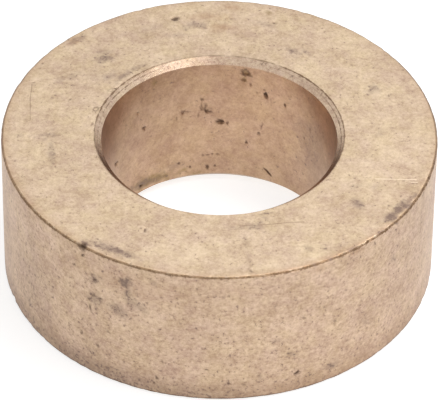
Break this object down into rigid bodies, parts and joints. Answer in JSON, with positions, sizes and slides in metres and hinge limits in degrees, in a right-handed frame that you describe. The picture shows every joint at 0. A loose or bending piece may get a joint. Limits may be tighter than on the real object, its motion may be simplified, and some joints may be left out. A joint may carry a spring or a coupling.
{
  "type": "plain bronze bushing",
  "caption": "Thick-walled one-piece cast bronze bushing with a plain straight bore and chamfered bore mouths.",
  "frame": {"origin": "centre of the bottom end face, on the bore's axis", "axes": "+Z along the bore's axis, from the bottom face to the top face; the ring is round, so X and Y are free, and the nick in the top edge lies at 233 degrees from +X"},
  "size_m": [0.07, 0.07, 0.0258],
  "materials": {
    "cast_bronze": "dull turned cast bronze, lightly oxidised, with fine pores and stains"
  },
  "bodies": {
    "root": {"bushing": "cast_bronze"}
  },
  "joints": []
}
